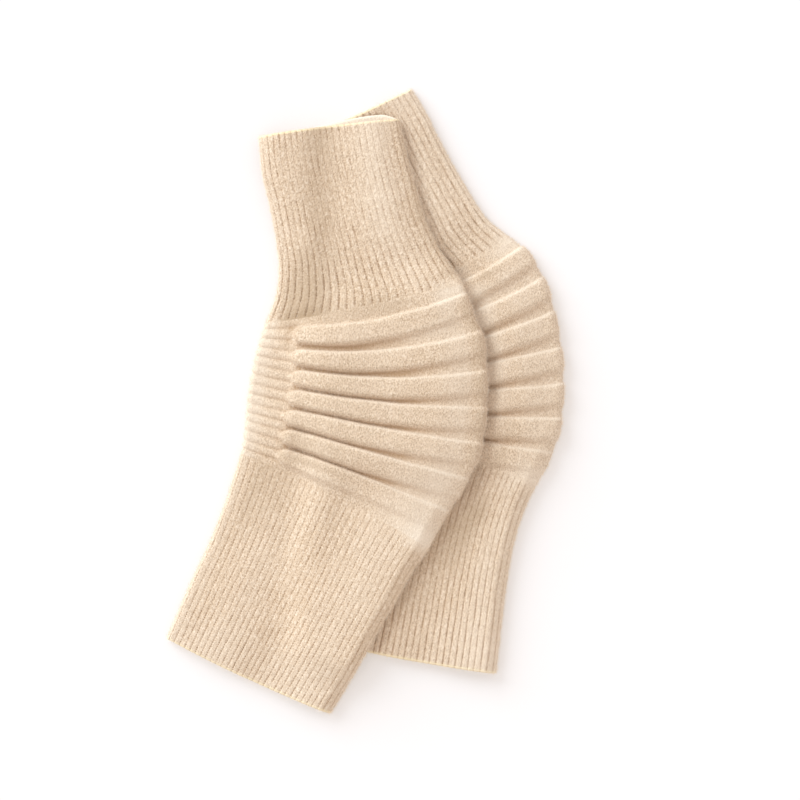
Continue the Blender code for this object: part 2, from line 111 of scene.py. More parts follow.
LOWER = (
    ("narrow_mouth", -55.0, 166.0, 29.5, 202.5, -1.5, 6.6),
    ("narrow_1", -46.0, 145.5, 39.5, 185.5, -2.0, 7.0),
    ("narrow_2", -37.0, 128.0, 48.0, 168.5, -2.0, 7.0),
    ("narrow_3", -28.5, 108.5, 58.5, 149.5, -2.0, 7.0),
    ("narrow_4", -22.5, 90.0, 69.5, 131.0, -2.0, 7.0),
    ("narrow_5", -20.5, 71.0, 79.5, 117.0, -2.3, 7.0),
    ("narrow_seam", -22.5, 53.5, 96.0, 103.8, -2.6, 7.0),
    ("ridge_1", -21.0, 45.5, 105.5, 95.5, -7.8, 7.6),
    ("ridge_2", -22.0, 33.5, 117.0, 74.5, -8.8, 8.0),
    ("ridge_3", -21.5, 22.5, 123.0, 52.0, -7.5, 8.0),
    ("ridge_4", -21.5, 10.0, 127.0, 28.5, -4.5, 8.0),
    ("ridge_5", -20.5, -2.0, 127.5, 5.0, -2.0, 8.0),
    ("ridge_6", -18.0, -13.0, 125.5, -17.5, 0.0, 8.0),
    ("ridge_7", -16.0, -24.5, 118.5, -39.5, 2.6, 7.6),
    ("wide_seam", -16.5, -31.5, 112.0, -51.5, 3.9, 7.0),
    ("wide_1", -18.5, -55.5, 103.5, -69.0, 3.0, 7.0),
    ("wide_2", -22.5, -84.5, 96.0, -92.5, 2.0, 7.0),
    ("wide_3", -27.0, -114.5, 91.0, -120.5, 1.0, 7.0),
    ("wide_4", -29.5, -137.5, 87.5, -149.0, 0.0, 7.0),
    ("wide_mouth", -30.5, -156.0, 84.5, -177.0, -1.5, 6.6),
)
SEAMS = {
    "narrow_cuff": ("narrow_mouth", "narrow_seam"),
    "knee": ("narrow_seam", "wide_seam"),
    "wide_cuff": ("wide_seam", "wide_mouth"),
}
KNEE_LINES = ("narrow_seam", *(f"ridge_{k + 1}" for k in range(RIDGES)), "wide_seam")
# How far each ridge's tip lies from the left fold
TIPS = np.array([21.5, 22.5, 25.0, 25.0, 24.5, 24.5, 23.5]) * MM

NOISE_SIDE = 1024
NOISE_SEED = 71
# The layers of noise, each with random values of its own
(LONG_WAVES, SHORT_WAVES, FINE_FELT, MIDDLE_FELT, COARSE_FELT, RIB_WANDER) = range(1, 7)
(BRUSHED_PATCHES, UNEVEN_RIBS, RIDGE_BULGE, UNEVEN_STITCHES, RIB_STARTS) = range(7, 12)

# How fine the model is: the step between a cuff's rows, the columns across a knee's top, and the
# hairs on each piece
FINENESS = {"lower": (0.68 * MM, 220, 6000), "upper": (0.48 * MM, 290, 13500)}
SMALL = 1e-6
TINY = 1e-15


def blend(low, high, share):
    return low + (high - low) * share


def soft_step(value, low, high):
    """0 below low, 1 above high, and a smooth rise between."""
    share = np.clip((value - low) / (high - low), 0.0, 1.0)
    return share * share * (3.0 - 2.0 * share)


def fade(value, low, high):
    """1 below low, 0 above high, and a smooth fall between."""
    return 1 - soft_step(value, low, high)


def plateau(value, rise, full, fall, end):
    """0 up to rise, 1 from full to fall, 0 from end on, and smooth between."""
    return soft_step(value, rise, full) * fade(value, fall, end)


def bell(value, middle, spread):
    return np.exp(-(((value - middle) / spread) ** 2))


def rounding(value, length):
    """The drop of a quarter circle: 1 at value 0, and 0 from value = length on."""
    share = 1 - np.clip(value / length, 0.0, 1.0)
    return 1 - np.sqrt(1 - share * share)


def noise(x, y, cell, layer):
    """Smooth noise from -1 to 1, from random values that lie a cell apart."""
    table = np.random.default_rng(NOISE_SEED + layer).uniform(-1, 1, (NOISE_SIDE, NOISE_SIDE))
    a, b = x / cell, y / cell
    i, j = np.floor(a).astype(int), np.floor(b).astype(int)
    a, b = soft_step(a - i, 0, 1), soft_step(b - j, 0, 1)
    i, j, next_i, next_j = (k % NOISE_SIDE for k in (i, j, i + 1, j + 1))
    near = blend(table[i, j], table[next_i, j], a)
    far = blend(table[i, next_j], table[next_i, next_j], a)
    return blend(near, far, b)


class Tube:
    """One warmer: a flattened tube that follows a table of courses."""

    def __init__(self, name, courses, lift=None, free=lambda x, y: 1.0):
        self.name = name
        centre = np.array([*PAIR_CENTRE, *PAIR_CENTRE, 0, 0])
        self.rows = (np.array([numbers for _, *numbers in courses]) - centre) * MM
        middles = (self.rows[:, 0:2] + self.rows[:, 2:4]) / 2
        steps = np.linalg.norm(np.diff(middles, axis=0), axis=1)
        self.downs = np.concatenate([[0.0], np.cumsum(steps)])
        self.down_of = {name: down for (name, *_), down in zip(courses, self.downs)}
        slopes = np.empty_like(self.rows)
        run = (self.downs[2:] - self.downs[:-2])[:, None]
        slopes[1:-1] = (self.rows[2:] - self.rows[:-2]) / run
        slopes[0] = (self.rows[1] - self.rows[0]) / steps[0]
        slopes[-1] = (self.rows[-1] - self.rows[-2]) / steps[-1]
        self.slopes = slopes
        self.lift = lift
        self.free = free

    def course(self, down):
        """Left end, right end, bow and height of the courses at these places."""
        down = np.asarray(down, float)
        i = np.clip(np.searchsorted(self.downs, down, side="right") - 1, 0, len(self.downs) - 2)
        span = (self.downs[i + 1] - self.downs[i])[..., None]
        t = (down[..., None] - self.downs[i][..., None]) / span
        row = (
            (1 + 2 * t) * (1 - t) ** 2 * self.rows[i]
            + t * (1 - t) ** 2 * span * self.slopes[i]
            + t * t * (3 - 2 * t) * self.rows[i + 1]
            - t * t * (1 - t) * span * self.slopes[i + 1]
        )
        return row[..., 0:2], row[..., 2:4], row[..., 4], row[..., 5]

    def half_girth(self, down):
        """Half of the way round the tube, from fold to fold."""
        left, right, _, height = self.course(down)
        return np.linalg.norm(right - left, axis=-1) - height + math.pi * height / 2

    def quarter(self, down):
        """A quarter turn of a fold."""
        return math.pi * self.course(down)[3] / 4

    def ends(self, part):
        """Where the courses at a part's two ends lie."""
        return tuple(self.down_of[name] for name in SEAMS[part])

    def grid(self, samples, ends=None):
        """Rows and columns of places on the top, between two courses."""
        downs = np.linspace(*(ends or (0, self.downs[-1])), samples[0])[:, None]
        return downs, np.linspace(0, 1, samples[1]) * self.half_girth(downs)

    def place(self, down, around, out=0.0, shift=0.0, soft=1.0):
        """Points on the tube, moved out of its surface and along it towards the narrow mouth.

        soft is how much of the cloth's gentle waves and of its swell they take.
        """
        down, around, out, shift = np.broadcast_arrays(down, around, out, shift)
        left, right, bow, height = self.course(down)
        width = np.linalg.norm(right - left, axis=-1)
        across_way = (right - left) / width[..., None]
        along_way = np.stack([-across_way[..., 1], across_way[..., 0]], axis=-1)
        radius = height / 2
        flat = width - height
        half = flat + math.pi * radius
        around = np.where(around < 0, around + 2 * half, around)
        upper = around <= half
        way = np.where(upper, around, 2 * half - around)
        first = np.clip(way / radius, 0, math.pi / 2)
        second = np.clip((way - flat) / radius - math.pi / 2, 0, math.pi / 2)
        normal_across = np.sin(second) - np.cos(first)
        normal_up = (np.sin(first) + np.cos(second) - 1) * np.where(upper, 1.0, -1.0)
        across = radius * (1 + normal_across) + np.clip(way - math.pi * radius / 2, 0, flat)
        across = across + out * normal_across
        share = across / width
        along = bow * 4 * share * (1 - share) + shift
        spot = left + across_way * across[..., None] + along_way * along[..., None]
        up = radius + (radius + out) * normal_up
        x, y = spot[..., 0], spot[..., 1]
        wave = noise(x, y, LONG_WAVE, LONG_WAVES) + noise(x, y, SHORT_WAVE, SHORT_WAVES)
        wave = WAVE * (0.5 * wave - 1)
        wave = wave + self.swell(down, share) * self.free(x, y)
        up = up + soft * wave * np.clip(normal_up, 0, 1)
        if self.lift is not None:
            up = up + self.lift(x, y)
        return np.concatenate([spot, up[..., None]], axis=-1)

    def swell(self, down, share):
        """How far the upper layer stands up where it isn't pressed flat."""
        way = down / self.down_of["narrow_seam"]
        near = np.clip(way, 0, 1)
        off_centre = share - blend(0.45, 0.24, near)
        left = blend(2.0, 0.8, near) * soft_step(share, 0, 0.13)
        left = left * fade(off_centre, -0.17, 0.04)
        right = 3.2 * soft_step(off_centre, 0.0, 0.42) * fade(share, 0.80, 1.0)
        right = right * (1 - 0.6 * soft_step(way, 0.7, 1.0))
        full = soft_step(down, self.down_of["ridge_1"], self.down_of["ridge_3"])
        knee = 3.2 * soft_step(share, 0, 0.2) * (1 - 0.45 * soft_step(share, 0.18, 0.42))
        knee = knee + blend(0.6, 2.4, full) * soft_step(share, 0.42, 0.8)
        knee = knee * fade(share, 0.8, 1.0)
        wide = 2.2 * soft_step(share, 0, 0.3) * (1 - 0.6 * soft_step(share, 0.38, 0.58))
        wide = (wide + 3.2 * soft_step(share, 0.52, 0.92)) * fade(share, 0.93, 1.0)
        past = soft_step(down, self.down_of["ridge_5"], self.down_of["wide_seam"])
        return MM * blend(left + right, blend(knee, wide, past), soft_step(way, 0.7, 1.05))


def reader(grid, low, cell):
    """A function that reads a grid of values smoothly at any place."""

    def read(x, y):
        a = np.clip((x - low[0]) / cell, 0, grid.shape[0] - 1.001)
        b = np.clip((y - low[1]) / cell, 0, grid.shape[1] - 1.001)
        i, j = a.astype(int), b.astype(int)
        a, b = a - i, b - j
        near = blend(grid[i, j], grid[i + 1, j], a)
        far = blend(grid[i, j + 1], grid[i + 1, j + 1], a)
        return blend(near, far, b)

    return read


def disc(radius):
    """The steps from a cell of a grid to each cell within a radius of it."""
    steps = range(-radius, radius + 1)
    return [(i, j) for i in steps for j in steps if i * i + j * j <= radius * radius]


def drape_over(tube):
    """A function for how far a cloth on this tube is lifted at a place on the surface."""
    downs, arounds = tube.grid(DRAPE_SAMPLES)
    ends = (tube.down_of[name] for name in ("narrow_seam", "ridge_1", "ridge_7", "wide_seam"))
    knee = plateau(downs, *ends)
    ridges = RIDGE_HEIGHT_LEFT * soft_step(arounds, *RIDGE_LIFT_REACH)
    points = tube.place(downs, arounds, out=knee * ridges, soft=0.0)
    margin = 3 * DRAPE_REACH
    low = points[..., :2].min(axis=(0, 1)) - margin
    high = points[..., :2].max(axis=(0, 1)) + margin
    across_cells, along_cells = np.ceil((high - low) / DRAPE_CELL).astype(int) + 1
    heights = np.zeros((across_cells, along_cells))
    cells = np.rint((points[..., :2] - low) / DRAPE_CELL).astype(int)
    np.maximum.at(heights, (cells[..., 0], cells[..., 1]), points[..., 2] + REST_GAP)
    reach = int(math.ceil(DRAPE_REACH / DRAPE_CELL))
    spread = heights.copy()
    for i, j in disc(reach):
        spread = np.maximum(spread, np.roll(heights, (i, j), axis=(0, 1)))
    smooth = np.zeros_like(heights)
    total = 0.0
    for i, j in disc(reach):
        weight = (1 - (i * i + j * j) / (reach + 0.5) ** 2) ** 2
        smooth += weight * np.roll(spread, (i, j), axis=(0, 1))
        total += weight
    return reader(smooth / total, low, DRAPE_CELL)


def placed(name, data):
    """An object of the scene with this data."""
    thing = bpy.data.objects.new(name, data)
    bpy.context.scene.collection.objects.link(thing)
    return thing


def strip(first, second, first_at, second_at):
    """Triangles that join two lines of vertices, matched by how far along each vertex lies."""
    faces = []
    i = j = 0
    while i < len(first) - 1 or j < len(second) - 1:
        next_first = first_at[i + 1] if i < len(first) - 1 else math.inf
        next_second = second_at[j + 1] if j < len(second) - 1 else math.inf
        if next_first <= next_second:
            faces.append((first[i], first[i + 1], second[j]))
            i += 1
        else:
            faces.append((first[i], second[j + 1], second[j]))
            j += 1
    return faces


class Skin:
    """A grid of points on a tube. Each has its place, its tone and its place on the colour map.

    A tone is (how much painted shade a groove gets, how much bound edge, and how much lighter or,
    below 0, darker a place is, mostly as painted light and shade).
    """

    def __init__(self, tube, downs, arounds, out, map_rows, shift=0.0, tone=None, soft=1.0):
        self.points = tube.place(downs, arounds, out, shift, soft)
        rows, columns = self.shape = self.points.shape[:2]
        self.downs = np.broadcast_to(downs, self.shape)
        self.arounds = np.broadcast_to(arounds, self.shape)
        self.tone = np.zeros((rows, columns, 3)) if tone is None else tone
        across = np.linspace(0.002, 0.998, columns)
        along = np.linspace(*map_rows, rows)
        self.map = np.stack(np.broadcast_arrays(across, along[:, None]), axis=-1)


def quads_of(index):
    corners = (index[:-1, :-1], index[1:, :-1], index[1:, 1:], index[:-1, 1:])
    return np.stack([corner.ravel() for corner in corners], axis=-1)


def knit_piece(name, tube, top, under, inside, material):
    """One closed piece of knit from its three skins: the top, the underside and the inside."""
    skins = (top, under, inside)
    sizes = [skin.shape[0] * skin.shape[1] for skin in skins]
    starts = np.cumsum([0, *sizes])
    top_i, under_i, inside_i = (
        np.arange(size).reshape(skin.shape) + start
        for size, skin, start in zip(sizes, skins, starts)
    )
    ring = np.hstack([inside_i, inside_i[:, :1]])
    quads = np.concatenate([quads_of(top_i), quads_of(under_i), quads_of(ring)[:, ::-1]])
    joins = strip(top_i[:, -1], under_i[:, 0], top.downs[:, -1], under.downs[:, 0])
    joins += strip(under_i[:, -1], top_i[:, 0], under.downs[:, -1], top.downs[:, 0])
    for end in (0, -1):
        whole = 2 * tube.half_girth(top.downs[end, 0])
        outer = np.concatenate([top_i[end], under_i[end], top_i[end, :1]])
        outer_at = np.concatenate(
            [top.arounds[end], under.arounds[end], top.arounds[end, :1] + whole]
        )
        inner = np.concatenate([inside_i[end], inside_i[end, :1]])
        inner_at = np.concatenate([inside.arounds[end], inside.arounds[end, :1] + whole])
        lines = (outer, inner, outer_at, inner_at)
        if end == 0:
            lines = (inner, outer, inner_at, outer_at)
        joins += [face[::-1] for face in strip(*lines)]

    mesh = bpy.data.meshes.new(name)
    points = np.concatenate([skin.points.reshape(-1, 3) for skin in skins])
    mesh.from_pydata(points.tolist(), [], [*quads.tolist(), *np.array(joins).tolist()])
    corner = np.empty(len(mesh.loops), np.int32)
    mesh.loops.foreach_get("vertex_index", corner)
    places = np.concatenate([skin.map.reshape(-1, 2) for skin in skins])[corner]
    # A join has no width on the map: its corners all take the place of its first corner
    start = 4 * len(quads)
    places[start:] = np.repeat(places[start::3], 3, axis=0)
    mesh.uv_layers.new(name="OFBake").data.foreach_set("uv", places.astype(np.float32).ravel())
    tones = np.concatenate([skin.tone.reshape(-1, 3) for skin in skins]).astype(np.float32)
    mesh.attributes.new("tone", "FLOAT_VECTOR", "POINT").data.foreach_set("vector", tones.ravel())
    mesh.shade_smooth()
    # The cut edges stay sharp, so that the knit runs on smoothly from piece to piece
    ends = np.concatenate([index[end] for index in (top_i, under_i) for end in (0, -1)])
    edges = np.empty(2 * len(mesh.edges), np.int32)
    mesh.edges.foreach_get("vertices", edges)
    sharp = np.isin(edges.reshape(-1, 2), ends).all(axis=1)
    mesh.attributes.new("sharp_edge", "BOOLEAN", "EDGE").data.foreach_set("value", sharp)
    mesh.materials.append(material)
    return placed(name, mesh)


TOP_MAP, UNDER_MAP, INSIDE_MAP = (0.002, 0.74), (0.76, 0.87), (0.89, 0.998)
INSIDE_COLUMNS = 64
COARSE_ROW = 4.5 * MM
RIM_ROWS = np.array([0.0, 0.1, 0.28, 0.55, 0.9, 1.3]) * MM
RIB_COLUMNS = np.array([0.0, 0.06, 0.13, 0.22, 0.36, 0.64, 0.78, 0.87, 0.94])
UNDER_RIB_COLUMNS = np.array([0.0, 0.25, 0.5, 0.75])
STITCH = 1.75 * MM
LOOP_ON_RIB, LOOP_IN_GROOVE = 0.10 * MM, 0.26 * MM  # how high the stitches stand
# The brushed surface: (its height, its cell, its layer of noise)
FELT = (
    (0.13 * MM, 0.8 * MM, FINE_FELT),
    (0.09 * MM, 1.7 * MM, MIDDLE_FELT),
    (0.12 * MM, 4.5 * MM, COARSE_FELT),
)
FELT_START = 1.4 * MM  # how far from a cut edge the brushed surface is full
WANDER = 0.07  # how far a rib wanders, in ribs
NARROW_DRIFT = -0.45  # how far a narrow cuff's ribs lie off their even places, in ribs
WIDE_LEAN = -3.3  # how far the lower wide cuff's ribs lean, in ribs


def bead(share, shoulder=0.27):
    """A rib's section: 0 in the groove at either side, and 1 between its two shoulders."""
    return np.sin(math.pi / 2 * np.minimum(np.minimum(share, 1 - share) / shoulder, 1))


def felt(x, y):
    """The brushed surface of the knit, in metres."""
    return sum(height * noise(x, y, cell, layer) for height, cell, layer in FELT)


def mouth_step(share, from_mouth):
    """How far the under layer reaches past the upper layer on the knee side of a narrow mouth."""
    across = plateau(share, 0.3, 0.8, 0.86, 1.0)
    return MOUTH_STEP * across * fade(from_mouth, 0, 14 * MM)


# Painted light and shade, with other lighter and darker places: a shade above 0 is lighter and
# below 0 darker. A share runs from 0 at the left fold to 1 at the right one
PALE_END = {"upper": 0.56, "lower": 0.45}  # how much lighter the right end of a seam is
PALE_REACH = 10 * MM  # how far the pale end reaches over a cuff
SEAM_SHADE = 0.30  # how dark the painted shade in the band beside the narrow seam is
NEAR_SEAM = (12 * MM, 58 * MM)  # where the darker places near a seam start to fade, and end
HEM_LIGHT = 0.22
# Streaks of painted light and shade down a wide cuff: (shade, middle, spread)
WIDE_STREAKS = {
    "upper": ((0.16, 0.80, 0.13), (0.16, 0.30, 0.10), (-0.05, 0.50, 0.08)),
    "lower": ((0.32, 0.87, 0.09), (-0.20, 0.48, 0.14)),
}


def pale_end(share):
    """Where the seams are lighter, beside the right fold."""
    return soft_step(share, 0.80, 0.93)


def left_fold(share):
    return fade(share, 0.04, 0.12)


def right_fold(share):
    return soft_step(share, 0.90, 0.97)


def seam_band(share):
    """Where the band beside the narrow seam is painted darker as shade, between the folds."""
    return plateau(share, 0.02, 0.20, 0.62, 0.85)


def wide_light_and_shade(name, share, from_seam, from_mouth_share):
    """The painted light and shade on a wide cuff."""
    shade = HEM_LIGHT * fade(from_mouth_share, 0.06, 0.34)
    for lighter, middle, spread in WIDE_STREAKS[name]:
        shade = shade + lighter * bell(share, middle, spread)
    if name == "upper":
        top = plateau(share, 0.02, 0.12, 0.26, 0.42) * fade(from_seam, *NEAR_SEAM)
        return shade + 0.28 * left_fold(share) - 0.32 * top
    # The shadow beside the upper warmer, which lies further left further down
    middle = blend(0.78, 0.68, soft_step(from_seam, 15 * MM, 60 * MM))
    shadow = bell(share, middle, 0.11) * fade(from_seam, 30 * MM, 90 * MM)
    shadow = shadow * blend(0.15, 1.0, soft_step(from_seam, 10 * MM, 34 * MM))
    return shade + 0.3 * right_fold(share) - 0.6 * shadow


def narrow_light_and_shade(name, share, from_seam, from_mouth_share):
    """The painted light and shade on a narrow cuff."""
    near = fade(from_seam, *NEAR_SEAM)
    # The painted shade along the hollow that runs down the cuff
    off_centre = share - blend(0.45, 0.24, from_mouth_share)
    dark = 0.26 * bell(off_centre, 0.0, 0.12)
    dark = dark + 0.14 * bell(off_centre, 0.0, 0.09) * fade(from_mouth_share, 0.05, 0.3)
    dark = dark + 0.55 * near * plateau(share, 0.01, 0.11, 0.18, 0.36)
    dark = dark + SEAM_SHADE * seam_band(share) * fade(from_seam, 0, 9 * MM)
    light = 0.28 * bell(off_centre, 0.38, 0.12) * (1 - near)
    if name == "upper":
        light = light + 0.16 * bell(share, 0.76, 0.10) + 0.18 * left_fold(share)
        dark = dark + 0.10 * near * bell(share, 0.55, 0.12) + 0.3 * soft_step(share, 0.88, 0.98)
    else:
        light = light + 0.15 + 0.35 * right_fold(share)
    return light - dark


def cuff(tube, part, row_step, material):
    """A ribbed tube from a bound mouth to the seam with the knee."""
    low, high = tube.ends(part)
    length = high - low
    narrow = part == "narrow_cuff"
    ribs = RIBS[part]
    depth_share, groove_shade_share, plain_right = GROOVES[f"{tube.name}_{part}"]

    def rows(step):
        count = int(round((length - RIM_LENGTH) / step)) + 1
        from_mouth = np.concatenate([RIM_ROWS, np.linspace(RIM_LENGTH, length, count)])
        return (from_mouth if narrow else from_mouth[::-1])[:, None]

    def down_of(from_mouth):
        return low + from_mouth if narrow else high - from_mouth

    def drift(from_mouth, share):
        """How many lanes the ribs lie off their even places."""
        if narrow:
            away = soft_step(length - from_mouth, 0, 25 * MM)
            return NARROW_DRIFT * np.sin(math.pi * np.clip(share, 0, 1)) ** 2 * away
        lean = WIDE_LEAN * np.clip(1 - share, 0, 1) * soft_step(share, 0, 0.4)
        return lean * (1 - from_mouth / length) ** 2 * (tube.name == "lower")

    def section(from_mouth, lanes):
        """Places round the tube for lanes, which count ribs from the left fold."""
        downs = down_of(from_mouth)
        lane = np.floor(lanes)
        wander = [noise(5.3 * (lane + k), downs / (14 * MM), 1.0, RIB_WANDER) for k in (0, 1)]
        lanes = lanes + WANDER * blend(*wander, lanes - lane) + drift(from_mouth, lanes / ribs)
        return lanes / ribs * tube.half_girth(downs)

    def step(from_mouth, arounds):
        """How far the under layer is moved out of an open mouth."""
        share = 2 - arounds / tube.half_girth(down_of(from_mouth))
        open_mouth = narrow and tube.name == "upper"
        return open_mouth * np.where(share < 1, mouth_step(share, from_mouth), 0)

    # The top and both folds
    from_mouth = rows(row_step)
    lanes = (np.arange(-1, ribs + 1)[:, None] + RIB_COLUMNS).ravel()
    lanes = np.append(lanes, ribs + 1.0)
    downs = down_of(from_mouth)
    arounds = section(from_mouth, lanes)
    spots = tube.place(downs, arounds)
    x, y = spots[..., 0], spots[..., 1]
    from_seam = length - from_mouth
    share = lanes / ribs
    body = bead(lanes % 1)
    plain = blend(PLAIN_LEFT, plain_right, soft_step(share, 0.82, 0.97))
    rib = np.round(lanes)
    plain = plain + 2.6 * MM * noise(3.1 * rib, 0.5 + 0 * lanes, 1.0, RIB_STARTS) ** 2
    starts = soft_step(from_seam, 0, plain)
    if narrow:
        brushed = soft_step(from_seam, 22 * MM, 48 * MM) * blend(
            0.35, 1.0, soft_step(noise(x, y, 11 * MM, BRUSHED_PATCHES), -0.5, 0.4)
        )
        brushed = brushed * soft_step(share, 0.04, 0.22) * (0.5 if tube.name == "lower" else 1)
    else:
        brushed = 0.35 * soft_step(noise(x, y, 17 * MM, BRUSHED_PATCHES), 0.0, 0.9)
        brushed = brushed * soft_step(from_mouth, 20 * MM, 50 * MM)
    uneven = 0.2 * noise(5.3 * rib, downs / (6 * MM), 1.0, UNEVEN_RIBS)
    uneven = uneven + 0.5 * noise(7.7 * rib, downs / (1.9 * MM), 1.0, UNEVEN_STITCHES)
    edge = blend(0.5, 1.0, soft_step(from_mouth, 0, 1.6 * MM))
    deep = (1 - body) * starts * edge * (1 - 0.6 * brushed) * (0.9 + uneven)
    if not narrow:
        deep = deep * blend(1.25, 0.85, soft_step(from_mouth, 10 * MM, 60 * MM))
    slant = 0.9 * np.abs(lanes % 1 - 0.5)
    loops = np.cos(2 * math.pi * (from_mouth / STITCH - slant)) * starts * edge
    loops = loops * blend(LOOP_IN_GROOVE, LOOP_ON_RIB, body) * (1 - 0.5 * brushed)
    nap = felt(x, y) * soft_step(np.minimum(from_mouth, from_seam), 0, FELT_START)
    out = nap + loops - depth_share * RIB_DEPTH * deep
    out = np.minimum(out, -RIM_ROUNDING * rounding(from_mouth, RIM_LENGTH))
    # The bound edge at the mouth: its own yellowish colour, lightened further as painted light
    bound = np.broadcast_to(fade(from_mouth, 0.9 * MM, 2.0 * MM), out.shape)
    # Painted shade in the grooves, stronger towards the right fold and broken by the stitches
    groove_shade_share = groove_shade_share * (1 + 0.8 * soft_step(share, 0.86, 0.95))
    dark = np.clip(groove_shade_share * deep - 2.2 * loops / MM * (1 - body), 0, 1)
    # The painted light and shade over the cuff, and the lighter right end of its seam
    shade_of = narrow_light_and_shade if narrow else wide_light_and_shade
    shade = shade_of(tube.name, share, from_seam, from_mouth / length)
    pale = PALE_END[tube.name] * pale_end(share) * fade(from_seam, 0, PALE_REACH)
    tone = np.stack([dark, bound, np.broadcast_to(shade + pale, out.shape)], axis=-1)
    scallop = -0.8 * MM * (1 - body) * fade(from_mouth, 0, 1.6 * MM)
    shift = step(from_mouth, arounds) + (scallop if narrow else -scallop)
    top = Skin(tube, downs, arounds, out, TOP_MAP, shift, tone)

    # The underside, with its ribs pressed flat
    from_mouth = rows(COARSE_ROW)
    lanes = (np.arange(ribs + 1, 2 * ribs - 1)[:, None] + UNDER_RIB_COLUMNS).ravel()[1:]
    downs = down_of(from_mouth)
    arounds = lanes / ribs * tube.half_girth(downs)
    starts = soft_step(length - from_mouth, 0, 2.5 * MM)
    out = -0.5 * RIB_DEPTH * (1 - bead(lanes % 1)) * starts
    out = np.minimum(out, -RIM_ROUNDING * rounding(from_mouth, RIM_LENGTH))
    under = Skin(tube, downs, arounds, out, UNDER_MAP, step(from_mouth, arounds), soft=0.0)

    # The inside
    marks = np.linspace(0, 2, INSIDE_COLUMNS, endpoint=False)
    arounds = (marks - 1 / ribs) * tube.half_girth(downs)
    out = -WALL + RIM_ROUNDING * rounding(from_mouth, RIM_LENGTH)
    out = np.broadcast_to(out, arounds.shape)
    tone = np.zeros((*arounds.shape, 3))
    # The inside is lighter near the mouth: partly its own paler colour, partly painted light in
    # shade
    tone[..., 2] = 1.4 * fade(from_mouth, 3 * MM, 9 * MM)
    shift = step(from_mouth, np.where(arounds < 0, arounds + 2 * tube.half_girth(downs), arounds))
    inside = Skin(tube, downs, arounds, out, INSIDE_MAP, shift, tone)
    return knit_piece(f"{tube.name}_{part}_knit", tube, top, under, inside, material), top


# Rows down a ridge's lower side and up its upper side, as shares of the way to its foot
LOWER_ROWS = np.array([0.0, 0.25, 0.45, 0.58, 0.68, 0.77, 0.86, 0.94, 1.0])
UPPER_ROWS = np.array([0.0, 0.3, 0.52, 0.67, 0.78, 0.86, 0.92, 0.965, 1.0])
FLOOR_STEPS = 9
# How deep the cuts in the floor between two ridges are, and the painted shade in them and in the
# fine ribs' grooves
SLIT_DEPTH, SINK_DEPTH, VALLEY_DEPTH = 0.5 * MM, 0.7 * MM, 0.6 * MM
FINE_GROOVE_SHADE, SLIT_SHADE, VALLEY_SHADE = 0.45, 1.1, 0.4
# The painted shade under each ridge's lower side
SINK_SHADES = (0.25, 0.45)  # at the left and at the right
# The painted highlight along each ridge's upper edge
CREST_HIGHLIGHT = 0.5
UNDER_KNEE_LINES = 30
TIP_START = 1.2 * MM  # how far before its tip a ridge starts to rise
# From each ridge's tip to its full width and to its full height, and how blunt the tip is
TIP_LENGTHS = np.array([4.8, 9.5, 10.0, 10.5, 10.0, 10.0, 9.0])[:, None] * MM
TIP_RISES = np.array([3.4, *5 * [8.5], 8.0])[:, None] * MM
TIP_POWERS = np.array([0.5, *6 * [0.75]])[:, None]


def tip_shape(past, lengths):
    """How far each ridge has grown: 0 before its tip and 1 from a length past it."""
    share = np.clip((past + TIP_START) / lengths, 0, 1)
    return (1 - (1 - share) ** 2) ** TIP_POWERS


def knee_light_and_shade(name, k, t, count, share, past):
    """The painted light and shade on a knee.

    k is the gap before ridge k + 1, t how far across it a place lies, count the same in ridges
    from the narrow seam, and past how far the place lies past the ridges' tips.
    """
    at_first, at_last = k == 0, k == RIDGES
    band = at_first * fade(t, 0.4, 1) * seam_band(share)
    end = (at_first or at_last) * soft_step(t if at_last else 1 - t, 0, 0.85) * pale_end(share)
    dim = 0.11 * soft_step(count, 1.5, 2.5) + 0.16 * soft_step(count, 5, 6.5)
    shade = PALE_END[name] * end - SEAM_SHADE * band - dim * plateau(share, 0.12, 0.22, 0.30, 0.62)
    shade = shade + 0.6 * fade(share, 0.04, 0.11)
    if not (at_first or at_last):
        shade = shade + 0.12 * fade(past, -3 * MM, 3 * MM)
    if k == 1:
        shade = shade + 0.35 * bell(t, 0.45, 0.25) * bell(share, 0.76, 0.09)
    low = soft_step(count, 4.8, 6.2)
    if name == "upper":
        edge = soft_step(share, 0.90, 0.96) * fade(count, 4.5, 6.5) * (1 - end)
        shade = shade + 0.3 * low * soft_step(share, 0.62, 0.8) + 0.3 * bell(share, 0.88, 0.07)
        return shade + 0.4 * at_last * bell(share, 0.38, 0.14) - 0.36 * edge
    high = fade(count, 3.5, 5)
    under_ribs = at_first * bell(t, 0.75, 0.25) * plateau(share, 0.5, 0.7, 0.88, 0.98)
    shade = shade + 0.26 + 0.4 * high * bell(share, 0.64, 0.09) - 0.3 * bell(share, 0.77, 0.05)
    return shade - 0.22 * low * bell(share, 0.66, 0.14) - 0.4 * under_ribs


